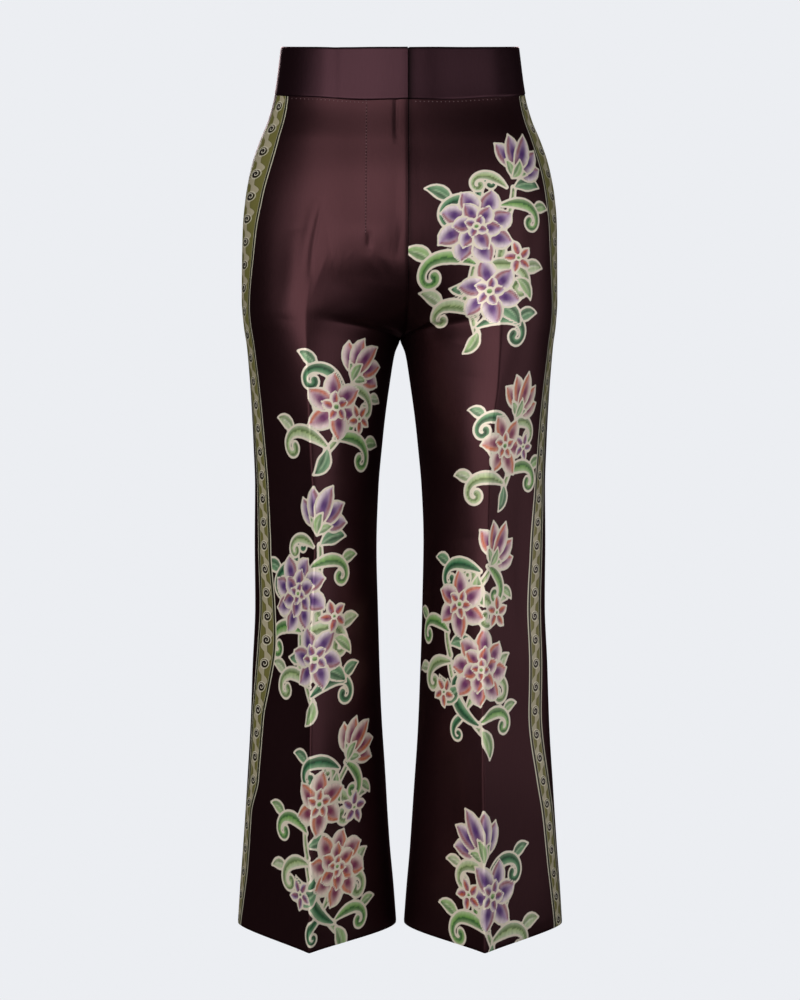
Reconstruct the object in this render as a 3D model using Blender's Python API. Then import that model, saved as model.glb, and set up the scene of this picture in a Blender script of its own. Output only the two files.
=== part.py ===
"""High-waisted cropped trousers with flared legs, filled out as if worn, with the waist held level.

Units are metres and +Z is up. The origin is the middle of the waistband at its mid-height, the front
faces -Y, and +X is the wearer's left. Every piece is one wall of cloth. A panel is a stack of rows that
run from the side seam over the pressed crease to the centre seam, or to the inseam below the fork, and
the Solidify modifier gives it its thickness on the inside.
"""

import math

import bpy
import numpy as np

MM = 0.001
CLOTH_WALL = 1.2 * MM
BAND_WALL = 2.4 * MM
BAND_PROUD = 0.6 * MM  # how far the faced band stands out from the panels under it
SEAM_GAP = 0.3 * MM
BAND_SEAM_GAP = 0.45 * MM

WAIST_TOP_Z = 26  # millimetres, as all table values are, at the side seam
BAND_SEAM_Z = -26
FORK_SIDE_Z = -277  # the row whose inner end is the fork, where both legs' seams meet
HEM_Z = -919.7

FLY_EDGE_X = 8.0  # the lap's edge lies this far past the centre, on the wearer's left
FLY_END_Z = -243  # side height of the row where the fly ends and the plain crotch seam starts
LAP_CLEARANCE = 0.45  # between the lap's edge and the step of the cloth that goes under it
UNDERLAP_END_X = -6.0
UNDERLAP_END_Z = -226  # side height of its lower edge, above where the crotch seam turns under
FLY_STEP = 1.9  # how deep the left front steps in under the lap
BAND_STEP = 3.0

LONGEST_ROW_STEP = 36.0  # rows stand no further apart than this down the side seam
OUTER_COLUMNS = 7  # faces from the side seam to the crease
INNER_COLUMNS = 7  # faces from the crease to the centre or the inseam
SEAM_CROWDING = 1.7  # columns stand closer at the seams, where the cloth turns fastest
ROUND_PULL = 1.12  # pull of the end tangents of a half row that turns through an eighth of an oval
TUBE_PULL = 0.53  # and this much more where it turns through a quarter, as on a round thigh
FLAT_SIDE_PULL = 0.70  # at the side seam of a row with a sharp crease
FLAT_INSEAM_PULL = 1.0

# Outline of both legs as the front view shows it. slope is how the rows run up towards the back as they
# cross the side seam. inner_x is the inseam's place, and zero above the fork.
OUTLINE = """
side_z   side_x  inner_x  slope
    26   128.0     0.0    0.27
   -26   135.0     0.0    0.27
   -54   142.6     0.0    0.24
   -75   151.2     0.0    0.21
   -97   158.8     0.0    0.18
  -118   163.6     0.0    0.15
  -140   166.9     0.0    0.12
  -172   169.3     0.0    0.08
  -248   170.1     0.0    0.03
  -277   168.0     0.0    0.02
  -298   165.0     5.2    0.00
  -330   162.4    10.2    0.00
  -361   160.4    14.6    0.00
  -405   158.2    19.4    0.00
  -450   156.6    23.2    0.00
  -512   157.1    25.4    0.00
  -577   156.6    23.8    0.00
  -642   159.3    22.1    0.00
  -707   161.5    19.4    0.00
  -772   165.2    15.1    0.00
  -837   169.6    10.8    0.00
  -880   172.8     7.0    0.00
-919.7   175.2     4.0    0.00
"""

# Depth of the front. bend is how fast the smooth oval still falls away at the crease's place. pressed goes
# from 0, that smooth oval, to 1, a sharp crease. turn is the angle, in degrees, that the cloth has turned
# inwards where it reaches the centre seam or the inseam.
FRONT = """
side_z  crease_y  crease_z  bend  pressed  inner_y  inner_z  turn
    26    -69.0      7.0    0.72    0.00     -95.0      0.0     0
   -26    -72.0    -45.0    0.72    0.00     -98.0    -53.0     0
   -75    -84.0    -91.0    0.53    0.00    -105.0    -97.0     0
  -118    -92.0   -131.0    0.42    0.00    -110.5   -136.0     0
  -161    -96.0   -170.0    0.34    0.03    -112.0   -178.0     0
  -200    -98.5   -207.0    0.24    0.08    -109.0   -217.0     6
  -226   -100.0   -231.0    0.16    0.12    -100.0   -244.0    18
  -243   -101.0   -247.0    0.11    0.15     -85.0   -261.0    38
  -256   -101.5   -260.0    0.08    0.18     -58.0   -277.0    60
  -267   -102.0   -270.0    0.05    0.20     -24.0   -287.0    78
  -277   -102.0   -280.0    0.03    0.24      10.0   -289.5    88
  -298   -102.0   -300.0    0.00    0.34      10.0   -304.0    90
  -361   -100.5   -361.5    0.00    0.62       8.0   -363.0    90
  -450    -95.0   -450.0    0.00    0.88       4.0   -450.0    90
  -512    -92.5   -512.0    0.00    1.00       2.0   -512.0    90
  -577    -92.0   -577.0    0.00    1.00       0.0   -577.0    90
  -642    -94.5   -643.0    0.00    1.00       0.0   -642.0    90
  -772   -103.0   -775.0    0.00    1.00       0.0   -772.0    90
-919.7   -115.0   -924.6    0.00    1.00       0.0   -919.2    90
"""

# Depth of the back, with the seat above the fork. Its crease is pressed from the thigh down.
BACK = """
side_z  crease_y  crease_z  bend  pressed  inner_y  inner_z  turn
    26     69.0     38.0    0.72    0.00      95.0     38.8     0
   -26     72.0    -14.0    0.72    0.00      98.0    -13.2     0
   -75     93.0    -62.0    0.60    0.00     116.0    -60.0     0
  -118    106.0   -107.0    0.53    0.00     128.0   -103.0     0
  -161    113.0   -154.0    0.42    0.00     134.0   -149.0     0
  -200    117.0   -196.0    0.30    0.00     131.0   -195.0     4
  -226    119.0   -224.0    0.22    0.00     118.0   -229.0    15
  -243    120.0   -242.0    0.16    0.04      97.0   -253.0    35
  -256    120.5   -256.0    0.12    0.08      72.0   -272.0    58
  -267    120.5   -267.0    0.08    0.11      38.0   -285.0    76
  -277    120.5   -277.0    0.05    0.14      10.0   -289.5    88
  -298    119.0   -298.0    0.00    0.22      10.0   -304.0    90
  -361    113.0   -361.0    0.00    0.50       8.0   -363.0    90
  -450    103.0   -450.0    0.00    0.82       4.0   -450.0    90
  -512     98.0   -512.0    0.00    1.00       2.0   -512.0    90
  -577     96.5   -577.0    0.00    1.00       0.0   -577.0    90
  -642     98.0   -642.5    0.00    1.00       0.0   -642.0    90
  -772    105.5   -774.0    0.00    1.00       0.0   -772.0    90
-919.7    116.0   -923.0    0.00    1.00       0.0   -919.2    90
"""

# How far each crease lies from the middle. The two fronts were not pressed quite alike. firm is how much of
# the press the half of the leg inside the crease kept: it is rounder than the outer half about the knee.
CREASES = """
side_z  right_x  left_x  back_x  firm
    26    88.0    88.0    88.0   1.00
   -26    92.0    92.0    92.0   1.00
  -118    87.0   100.0    95.0   1.00
  -200    88.0   104.0    97.0   1.00
  -273    96.5   103.5    96.0   1.00
  -341    94.5   101.0    93.0   0.70
  -405    92.0    94.0    90.0   0.45
  -505    87.7    91.3    88.0   0.35
  -560    89.4    89.0    88.0   0.35
  -617    91.7    87.6    88.0   0.42
  -707    91.7    86.0    88.0   0.62
  -868    91.2    86.0    88.0   0.95
-919.7    92.3    86.3    88.0   1.00
"""

AUBERGINE = (0.033, 0.013, 0.015, 1.0)
AUBERGINE_BAND = (0.042, 0.017, 0.019, 1.0)


def read_table(text):
    """Columns of a table as {name: values from the hem up}, for the interpolation below."""
    lines = [line.split() for line in text.strip().splitlines()]
    values = np.array(lines[1:], float)[::-1]
    return dict(zip(lines[0], values.T))


def knot_slopes(x, y):
    """Slopes at the knots that let a curve pass through them without overshoot."""
    step = np.diff(x)
    rise = np.diff(y) / step
    slopes = np.empty_like(y)
    slopes[0], slopes[-1] = rise[0], rise[-1]
    for k in range(1, len(y) - 1):
        before, after = rise[k - 1], rise[k]
        if before * after <= 0:
            slopes[k] = 0
            continue
        near, far = 2 * step[k] + step[k - 1], step[k] + 2 * step[k - 1]
        slopes[k] = (near + far) / (near / before + far / after)
    return slopes


def hermite(start, start_pull, end, end_pull, t):
    """Point at t on the cubic curve with these ends and these tangents at them."""
    return (
        (1 + 2 * t) * (1 - t) ** 2 * start
        + t * (1 - t) ** 2 * start_pull
        + t * t * (3 - 2 * t) * end
        + t * t * (t - 1) * end_pull
    )


def table_value(table, column, side_z):
    """A column's value at a height on the side seam, smooth between the table's rows."""
    x, y = table["side_z"], table[column]
    slopes = knot_slopes(x, y)
    k = int(np.clip(np.searchsorted(x, side_z) - 1, 0, len(x) - 2))
    step = x[k + 1] - x[k]
    return hermite(y[k], slopes[k] * step, y[k + 1], slopes[k + 1] * step, (side_z - x[k]) / step)


TABLES = {name: read_table(text) for name, text in
          {"outline": OUTLINE, "front": FRONT, "back": BACK, "creases": CREASES}.items()}


def row_heights(top, bottom):
    """Side heights of a panel's rows: the depth table's own, with long gaps between them divided."""
    knots = [z for z in TABLES["front"]["side_z"][::-1] if bottom <= z <= top]
    heights = [knots[0]]
    for upper, lower in zip(knots, knots[1:]):
        parts = math.ceil((upper - lower) / LONGEST_ROW_STEP)
        heights += [upper + (lower - upper) * k / parts for k in range(1, parts + 1)]
    return heights


def fly_edge(side_z):
    """Distance of the front seam from the middle: the fly's edge, running to the fork below its end."""
    if side_z >= FLY_END_Z:
        return FLY_EDGE_X
    along = min(1.0, (FLY_END_Z - side_z) / (FLY_END_Z - FORK_SIDE_Z))
    return FLY_EDGE_X * (1 - along) * (1 + along)


def blend(first, second, share):
    return (1 - share) * first + share * second


def oval_pulls(fall):
    """Tangent lengths, as shares of an arc's depth and width, for an arc of an oval that starts square.

    fall is its end slope over the mean slope: 0 is a whole quarter, and it nears a half on a short arc.
    """
    end_angle = math.acos(fall / (1 - fall))
    reach = 4 * math.tan(end_angle / 4)
    return reach / math.sin(end_angle), reach / math.tan(end_angle / 2)


def row_points(side_z, face, side):
    """One row of a panel in millimetres, from the side seam to its inner end, for the wearer's left.

    face is front or back. side is left or right, and matters for the crease and for the fly.
    """
    outline, depth = TABLES["outline"], TABLES[face]
    towards = -1 if face == "front" else 1
    crease_column = "back_x" if face == "back" else side + "_x"
    half_gap = SEAM_GAP / MM / 2
    inner_x = table_value(outline, "inner_x", side_z) + half_gap
    if face == "front":
        inner_x += fly_edge(side_z) if side == "left" else -fly_edge(side_z)
    inner_y = table_value(depth, "inner_y", side_z)
    if side_z <= FORK_SIDE_Z:
        inner_y += towards * half_gap

    seam = np.array([table_value(outline, "side_x", side_z), towards * half_gap, side_z])
    crease = np.array([
        table_value(TABLES["creases"], crease_column, side_z),
        table_value(depth, "crease_y", side_z),
        table_value(depth, "crease_z", side_z),
    ])
    inner = np.array([inner_x, inner_y, table_value(depth, "inner_z", side_z)])

    bend = table_value(depth, "bend", side_z)
    pressed = table_value(depth, "pressed", side_z)
    turn = math.radians(table_value(depth, "turn", side_z))
    outer, half = crease - seam, inner - crease

    # Outer half: an arc of an oval that leaves the side seam square and has the given bend at the crease.
    start_share, end_share = oval_pulls(abs(bend * outer[0] / outer[1]))
    slope = np.array([0, 1, table_value(outline, "slope", side_z)])
    seam_pull = blend(start_share, FLAT_SIDE_PULL, pressed) * outer[1] * slope
    rise = outer[2] / outer[1]
    along = np.array([-1, towards * bend, towards * bend * rise])
    outer_pull = blend(end_share * abs(outer[0]) * along, outer, pressed)

    # Inner half: from there to the centre, square across it, or round to the inseam.
    round_pull = ROUND_PULL + TUBE_PULL * math.sin(turn)
    firm = table_value(TABLES["creases"], "firm", side_z)
    half_pull = blend(round_pull * abs(half[0]) * along, half, pressed * firm)
    inner_pull = np.array([
        ROUND_PULL * half[0] * math.cos(turn),
        blend(round_pull, FLAT_INSEAM_PULL, pressed) * half[1] * math.sin(turn),
        0,
    ])
    if abs(inner[1]) > abs(crease[1]):
        inner_pull[1] = 0

    points = []
    for k in range(OUTER_COLUMNS):
        t = (k / OUTER_COLUMNS) ** SEAM_CROWDING
        points.append(hermite(seam, seam_pull, crease, outer_pull, t))
    for k in range(INNER_COLUMNS + 1):
        t = 1 - (1 - k / INNER_COLUMNS) ** SEAM_CROWDING
        points.append(hermite(crease, half_pull, inner, inner_pull, t))
    return np.array(points)


def underlap_points(row, step):
    """The two points that carry the left front, or the band, in under the lap."""
    end = row[-1]
    edge = end + [LAP_CLEARANCE, 0, 0]
    under = edge + [-0.1, step, 0]
    tip = np.array([UNDERLAP_END_X, under[1], under[2]])
    return edge, under, tip


def cloth_object(name, points, faces, wall, offset, colour, roughness):
    """A named object whose open sheet of faces gets its thickness from a Solidify modifier."""
    mesh = bpy.data.meshes.new(name)
    mesh.from_pydata([tuple(p * MM) for p in points], [], faces)
    mesh.shade_smooth()
    mesh.set_sharp_from_angle(angle=math.radians(40))
    material = bpy.data.materials.new(name + "_satin")
    material.use_nodes = True
    shader = material.node_tree.nodes["Principled BSDF"]
    shader.inputs["Base Color"].default_value = colour
    shader.inputs["Roughness"].default_value = roughness
    shader.inputs["Metallic"].default_value = 0.0
    mesh.materials.append(material)
    obj = bpy.data.objects.new(name, mesh)
    bpy.context.scene.collection.objects.link(obj)
    thickness = obj.modifiers.new("wall", "SOLIDIFY")
    thickness.thickness = wall
    thickness.offset = offset
    thickness.use_even_offset = True
    thickness.use_quality_normals = True
    return obj


def grid_faces(rows, turned):
    """Quads between neighbouring rows of point numbers, facing out for the wearer's left front."""
    faces = []
    for upper, lower in zip(rows, rows[1:]):
        for k in range(min(len(upper), len(lower)) - 1):
            quad = (upper[k], upper[k + 1], lower[k + 1], lower[k])
            faces.append(quad[::-1] if turned else quad)
    return faces


def make_panel(face, side):
    """A front or a back, cut as one wall from the waistband seam to the hem."""
    points = []
    rows = []
    for side_z in row_heights(BAND_SEAM_Z, HEM_Z):
        row = row_points(side_z, face, side)
        if side_z == BAND_SEAM_Z:
            below = row_points(side_z - 1, face, side)
            row = row + (below - row) * (BAND_SEAM_GAP / MM)
        if face == "front" and side == "left" and side_z >= UNDERLAP_END_Z:
            edge, under, tip = underlap_points(row, FLY_STEP)
            row = np.vstack([row[:-1], edge, under, tip])
        rows.append(list(range(len(points), len(points) + len(row))))
        points += list(row)
    points = np.array(points)
    turned = face == "back"
    if side == "right":
        points = points * [-1, 1, 1]
        turned = not turned
    return cloth_object(f"{face}_{side}", points, grid_faces(rows, turned), CLOTH_WALL, -1.0,
                        AUBERGINE, 0.38)


def make_waistband(side):
    """Half of the band, from the centre back round the side to its end at the fly."""
    points = []
    rows = []
    for side_z in np.linspace(WAIST_TOP_Z, BAND_SEAM_Z, 4):
        back = row_points(side_z, "back", side)[:0:-1]
        front = row_points(side_z, "front", side)
        front[0][1] = 0
        if side == "left":
            edge, under, tip = underlap_points(front, BAND_STEP)
            front = np.vstack([front[:-1], edge, under, tip])
        row = np.vstack([back, front])
        rows.append(list(range(len(points), len(points) + len(row))))
        points += list(row)
    points = np.array(points)
    turned = False
    if side == "right":
        points = points * [-1, 1, 1]
        turned = True
    offset = 2 * BAND_PROUD / BAND_WALL - 1
    return cloth_object(f"waistband_{side}", points, grid_faces(rows, turned), BAND_WALL, offset,
                        AUBERGINE_BAND, 0.34)


def main():
    for obj in list(bpy.data.objects):
        bpy.data.objects.remove(obj, do_unlink=True)
    for side in ("right", "left"):
        make_panel("front", side)
        make_panel("back", side)
        make_waistband(side)


main()
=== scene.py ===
import math

import bpy
import numpy as np
from mathutils import Matrix, Vector


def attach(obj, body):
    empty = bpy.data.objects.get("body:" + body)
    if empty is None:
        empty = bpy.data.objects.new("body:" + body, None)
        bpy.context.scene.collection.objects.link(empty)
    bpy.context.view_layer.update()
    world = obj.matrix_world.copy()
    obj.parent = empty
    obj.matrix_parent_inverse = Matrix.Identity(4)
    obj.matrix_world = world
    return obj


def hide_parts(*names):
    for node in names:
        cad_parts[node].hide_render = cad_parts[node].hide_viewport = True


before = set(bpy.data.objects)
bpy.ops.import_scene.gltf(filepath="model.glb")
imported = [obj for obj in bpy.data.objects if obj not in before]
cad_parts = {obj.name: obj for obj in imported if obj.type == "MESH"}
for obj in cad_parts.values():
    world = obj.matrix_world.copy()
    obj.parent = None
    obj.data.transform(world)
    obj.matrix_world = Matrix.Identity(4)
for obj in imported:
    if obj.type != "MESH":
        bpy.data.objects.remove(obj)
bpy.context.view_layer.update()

# What a user would change, one dictionary for each kind of piece. Lengths are millimetres.
panelLook = {
    "wall": 1.2,
    "rowsAboveUnderlapEnd": 120,
    "rowsBelowUnderlapEnd": 408,
    "outerColumns": 76,
    "innerColumns": 80,
    "coarseStep": 4,  # the inner wall has one point for this many on the outer one, each way
    "seamDip": 0.35,
    "seamDipReach": 1.5,
    "facet": 4.6,  # how much flatter than an oval the fronts lie beside the fly
    "facetMiddle": 52,
    "facetReach": 33,
    "creaseRidge": 0.22,  # a thin line that catches the light along a pressed crease
    "creaseRidgeReach": 1.8,
    "creaseSoft": 4,  # columns each side of a crease that are smoothed
    "foldMargin": 12,  # the folds fade out this far from an edge
    "seamShade": 0.6,  # painted shade: how much darker the cloth is painted just at its seams
    "seamShadeReach": 1.6,
    # painted shade where the left half steps in under the lap, at the top and at the fly's end
    "underlapShade": 0.93,
    "underlapEndShade": 0.75,
    "lapLift": 0.8,  # how far the lap's edge stands up
    "lapLiftReach": 8,
    "lapFade": 28,  # height over which the lap fades away above the fly's end
    # painted shadow beside the lap's edge, and how far it reaches
    "lapShadow": 0.92,
    "lapShadowReach": 3.4,
    "ground": "3d2428",
    "roughness": 0.39,
    "lustre": 0.85,  # share of the ground's light that comes off as a coloured sheen
    "printLustre": 0.2,
}
bandLook = {
    "wall": 2.4,
    "proud": 0.6,
    "rows": 32,
    "crowding": 0.6,  # how much closer the rows lie at both edges
    "outerColumns": 64,
    "innerColumns": 68,
    "edgeRound": 0.9,
    "edgeRoundReach": 0.9,
    "innerRound": 0.6,  # the same as a share, on the inner side
    "dent": 0.8,  # one soft dent in the right half
    "dentX": -69,
    "dentReach": 6,
    "lapLiftReach": 12,
    "rise": 1.2,  # how far the top edge stands up in front
    "lapRise": 1.6,  # and how much more at lapRiseX from the lap
    "lapRiseX": 46,
    "lapRiseReach": 34,
    "frontDepth": 69,
    # reach of the painted shade along the band's lower seam
    "seamShadeReach": 0.7,
    # reach of the painted shadow beside the band's lap
    "lapShadowReach": 5.78,
    "colour": "39232a",
    "roughness": 0.36,
}
printLook = {
    "line": 1.42,  # half width of the pale outlines
    "cream": "fbf1de",
    "palettes": {  # heart of a petal, its middle, its edge and the warm line along one side
        "lilac": ("5a397c", "b893c2", "fbeff0", "a25a62"),
        "rose": ("75366a", "d09ab0", "fdeee9", "d46530"),
        "coral": ("86385a", "d8a2a4", "fdefe2", "d86c2c"),
    },
    "greens": {  # shaded side, middle and edge
        "pale": ("55783a", "bfd696", "f4f7e2"),
        "fresh": ("1f6233", "84be5c", "e4efc8"),
        "emerald": ("073f28", "1f7c4c", "bcdcb2"),
    },
    "heart": ("35763a", "8fc066", "dbebb2"),
}
borderLook = {
    "fill": "827f46",
    "wave": "c9c0a4",
    "line": "efe9d4",
    "shade": "1c150f",
    "stripe": "222b17",
    "pitch": 25.0,  # from one curl of the scroll to the next
}
stitchLook = {
    "length": 1.15,
    "thickness": 1.1,
    "sides": 8,
    # dark: painted shade, a near-black thread that stands for the dimple round each fly stitch; light: the
    # thread's own colour
    "colours": {"dark": "070203", "light": "7c6366"},
    "roughness": 0.6,
    "shine": 0.12,
}

waistTopZ = 26.0
bandSeamZ = -26.0
forkSideZ = -277.0
hemZ = -919.7
flyEdgeX = 8.0
flyEndZ = -243.0
lapClearance = 1.3  # how far the left half stays back from the lap's edge at the top
lapEndClearance = 0.5  # and at the fly's end
underlapEndX = -6.0
underlapEndZ = -226.0
flyStep = 1.9
bandStep = 3.0
seamGap = -0.05  # the shells overlap a little at their seams, so that no light shows through
bandSeamGap = 0.08
backSeamGap = 0.04
roundPull = 1.12
tubePull = 0.53
flatSidePull = 0.70
flatInseamPull = 1.0
pixel = 1.08  # millimetres to one picture element at the side seams, for places read off the photo
middleColumn = 400.0
middleRow = 500.0
originRow = 70.5
eyeDistance = 1900.0
eyeHeight = -463.9
focalLength = 63.3
filmWidth = 36.0
pictureHeight = 1000

shapeTexts = {
"outline": """
     z sideX innerX slope
    26   128      0  0.27
   -26   135      0  0.27
   -54 142.6      0  0.24
   -75 151.2      0  0.21
   -97 158.8      0  0.18
  -118 163.6      0  0.15
  -140 166.9      0  0.12
  -172 169.3      0  0.08
  -248 170.1      0  0.03
  -277   168      0  0.02
  -298   165    5.2     0
  -330 162.4   10.2     0
  -361 160.4   14.6     0
  -405 158.2   19.4     0
  -450 156.6   23.2     0
  -512 157.1   25.4     0
  -577 156.6   23.8     0
  -642 159.3   22.1     0
  -707 161.5   19.4     0
  -772 165.2   15.1     0
  -837 169.6   10.8     0
  -880 172.8      7     0
-919.7 175.2      4     0
""",
"front": """
     z creaseY creaseZ bend pressed innerY innerZ turn
    26     -69       7 0.72       0    -95      0    0
   -26     -72     -45 0.72       0    -98    -53    0
   -75     -84     -91 0.53       0   -105    -97    0
  -118     -92    -131 0.42       0 -110.5   -136    0
  -161     -96    -170 0.34    0.03   -112   -178    0
  -200   -98.5    -207 0.24    0.08   -109   -217    6
  -226    -100    -231 0.16    0.12   -100   -244   18
  -243    -101    -247 0.11    0.15    -85   -261   38
  -256  -101.5    -260 0.08    0.18    -58   -277   60
  -267    -102    -270 0.05     0.2    -24   -287   78
  -277    -102    -280 0.03    0.24     10 -289.5   88
  -298    -102    -300    0    0.34     10   -304   90
  -361  -100.5  -361.5    0    0.62      8   -363   90
  -450     -95    -450    0    0.88      4   -450   90
  -512   -92.5    -512    0       1      2   -512   90
  -577     -92    -577    0       1      0   -577   90
  -642   -94.5    -643    0       1      0   -642   90
  -772    -103    -775    0       1      0   -772   90
-919.7    -115  -924.6    0       1      0 -919.2   90
""",
"back": """
     z creaseY creaseZ bend pressed innerY innerZ turn
    26      69      38 0.72       0     95   38.8    0
   -26      72     -14 0.72       0     98  -13.2    0
   -75      93     -62  0.6       0    116    -60    0
  -118     106    -107 0.53       0    128   -103    0
  -161     113    -154 0.42       0    134   -149    0
  -200     117    -196  0.3       0    131   -195    4
  -226     119    -224 0.22       0    118   -229   15
  -243     120    -242 0.16    0.04     97   -253   35
  -256   120.5    -256 0.12    0.08     72   -272   58
  -267   120.5    -267 0.08    0.11     38   -285   76
  -277   120.5    -277 0.05    0.14     10 -289.5   88
  -298     119    -298    0    0.22     10   -304   90
  -361     113    -361    0     0.5      8   -363   90
  -450     103    -450    0    0.82      4   -450   90
  -512      98    -512    0       1      2   -512   90
  -577    96.5    -577    0       1      0   -577   90
  -642      98  -642.5    0       1      0   -642   90
  -772   105.5    -774    0       1      0   -772   90
-919.7     116    -923    0       1      0 -919.2   90
""",
"crease": """
     z right  left back firm
    26    88    88   88    1
   -26    92    92   92    1
  -118    87   100   95    1
  -200    88   104   97    1
  -273  96.5 103.5   96    1
  -341  94.5   101   93  0.7
  -405    92    94   90 0.45
  -505  87.7  91.3   88 0.35
  -560  89.4    89   88 0.35
  -617  91.7  87.6   88 0.42
  -707  91.7    86   88 0.62
  -868  91.2    86   88 0.95
-919.7  92.3  86.3   88    1
""",
# side border: distance of its middle from the side seam along the cloth, and its half width
"border": """
     z rightMiddle rightHalf leftMiddle leftHalf
   -26          38        16         20       15
   -98          37        28         30       22
  -140          33        29         31       23
  -182          30        27         30       22
  -300          29        19         28       14
  -418          29        14       26.5     10.5
  -517        28.5        13         28     12.5
  -577          33        15         31       13
  -620        34.5        18         32     12.5
  -660        29.5        16         34     12.5
  -697          24      13.5       36.5     12.5
  -760          24        12         30       12
  -800          13      11.5         24       12
  -854        12.5      11.5         21     11.8
-919.7           5      11.5       16.5     11.8
""",
}

# Soft folds as seen in the front view, or through it for the back: column and row of the photo at both
# ends, how far the middle bows to the right, half width and height in millimetres. Troughs are negative.
foldText = """
piece       x1  y1  x2  y2 bow width height
frontRight 397 106 396 160   0   2.5   -1.5
frontRight 368 116 368 249   0   2.2   -0.1
frontRight 322 212 309 300  -4   5.5    1.1
frontRight 327 216 315 292  -3   2.4   -0.9
frontRight 330 250 402 252   4    20    2.5
frontRight 322 286 398 292  -6    20   -3.3
frontRight 371 245 371 263   0   3.6     -1
frontRight 372 268 398 318   6     6   -0.7
frontRight 352 266 388 330   8     8   -0.6
frontRight 349 616 336 641   0     7   -1.6
frontRight 345 606 330 634   0     7    1.4
frontRight 300 240 292 330   3    12    1.8
frontRight 330 360 338 480   4    11    1.6
frontRight 322 700 330 850   3    12    1.2
frontRight 276 520 274 690   3    11   -1.6
frontLeft  408 258 440 330   6     7   -1.6
frontLeft  412 270 452 322   5     6      1
frontLeft  412 300 436 352   4     7   -1.4
frontLeft  432 664 448 687   0     7   -1.5
frontLeft  436 655 453 678   0     6    1.3
frontLeft  470 380 462 540  -4    16    2.2
frontLeft  474 280 456 352   0    10   -1.3
frontLeft  520 470 524 660  -3    11   -1.4
frontLeft  452 720 462 850   4    12    1.3
backRight  386 262 352 300   6     9     -2
backRight  392 288 360 322   4     8   -1.6
backRight  345 330 340 460   4    12    1.6
backRight  349 560 330 590   0     8   -1.5
backRight  278 540 276 700   2    11   -1.4
backRight  343 104 345 172   0     3   -0.5
backLeft   414 262 448 302  -6     9     -2
backLeft   408 290 440 324  -4     8   -1.6
backLeft   456 340 460 470  -4    12    1.6
backLeft   452 590 470 618   0     8   -1.5
backLeft   522 520 526 690  -2    11   -1.4
backLeft   457 104 455 172   0     3   -0.5
"""

# The parts of each bouquet of the print in the order of painting: place from its middle in millimetres, y
# down, and turn in degrees clockwise from the right. A minus size bends or coils a part the other way.
bouquetParts = {
"spray": """
kind      x   y turn size colour
stem      6 126 -100  100 pale
stem     -8  28  -72 -104 pale
scroll    4 116  -40  116 emerald
scroll    2 104 -140 -112 pale
scroll   -8  44  -30  128 pale
scroll  -12  36 -156 -122 fresh
scroll    4 -34 -150 -126 emerald
scroll   10 -44  -26  104 fresh
scroll   14 -70 -140  -80 pale
leaf     18  86   24   46 emerald
leaf     26 -72  -10   42 emerald
leaf      6 122  118   34 fresh
leaf     -4  60  168   36 emerald
leaf     44  48   40   34 fresh
bell     24 -92  -68   58 first
open     12  70   10   78 first
rosette -18 -12   20   92 first
star     42  20   30   40 second
""",
"wreath": """
kind      x    y turn size colour
stem     32  118 -128  108 pale
stem    -32   30 -100   56 pale
stem    -40  -24  -50  -98 pale
scroll   26  110  194  124 emerald
scroll   30  106  -40   96 fresh
scroll    6   90  -66  132 pale
scroll  -30   38 -180 -104 pale
scroll  -38    0 -150 -108 fresh
scroll  -30  -44  -24  122 pale
scroll    4  -84 -156 -112 emerald
scroll   14  -92   16   90 fresh
leaf     32  116   64   40 fresh
leaf    -10   66  150   46 emerald
leaf    -32   16   -6   42 emerald
leaf      2  -78   70  -40 fresh
bell     22 -100  -62   56 first
rosette  22   40    0   90 first
open    -22  -38   24   80 first
star     42  -34   50   40 second
star    -40   80   10   38 second
""",
"posy": """
kind    x   y turn size colour
stem   -8  74  -70  -96 pale
scroll -8  70 -146 -112 pale
scroll  0  58  -24  112 fresh
scroll  8  -4 -136 -100 emerald
scroll 12  -6  -16   88 pale
leaf   -8  72  112   36 emerald
leaf    4  32  194   38 emerald
bell   22 -22  -62   56 first
open   -2  20   14   78 first
star   38  26   10   36 second
""",
}

# Where the bouquets lie flat on the cloth: across from the crease, with the side seam on the minus side, and
# down from the waist. A minus scale mirrors one, and colour is its first palette.
bouquetText = """
piece        x   y bouquet scale turn colour
frontRight  36 350 posy     0.88   10 rose
frontRight -10 570 spray    0.82   -4 lilac
frontRight  24 806 wreath    0.8    8 coral
frontLeft   12 186 spray   -0.84  -10 lilac
frontLeft  -20 392 posy    -0.78    8 coral
frontLeft   18 604 wreath   -0.8   -6 rose
frontLeft  -14 848 posy      0.9   -8 lilac
backRight   10 190 wreath    0.9    6 coral
backRight  -16 412 posy    -0.94  -10 lilac
backRight   16 620 spray     0.9   -6 rose
backRight  -10 850 posy     0.96   10 coral
backLeft    10 240 spray     0.9   10 rose
backLeft   -14 500 wreath   -0.9   -6 lilac
backLeft    16 722 posy    -0.94    8 coral
backLeft   -20 872 posy      0.7  -10 rose
"""

# Hand stitches, from one column and row of the photo to another, a step apart in picture elements. The rows
# of those under the band count from its lower edge.
# The fly run's dark thread is painted shade for the dimples, and the glint run between its stitches is
# painted highlight where the cloth catches the light.
stitchText = """
run   piece         x1    y1    x2  y2 step thread
tack  frontRight 366.2 100.6 366.4 103  2.4 light
fly   frontRight 366.6   106 365.8 234  3.3 dark
glint frontRight 366.4 107.6 365.6 232  3.3 light
band  frontRight   292     2   363   2  4.2 light
band  frontLeft    416     2   500   2  4.2 light
band  backRight    308     2   394   2  4.2 light
band  backLeft     406     2   492   2  4.2 light
"""


def readLines(text):
    lines = [line.split() for line in text.strip().splitlines()]
    return lines[0], lines[1:]


def readTable(text):  # a column of numbers for each name, from the lowest height up
    names, rows = readLines(text)
    return dict(zip(names, np.array(rows[::-1], float).T))


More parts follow.
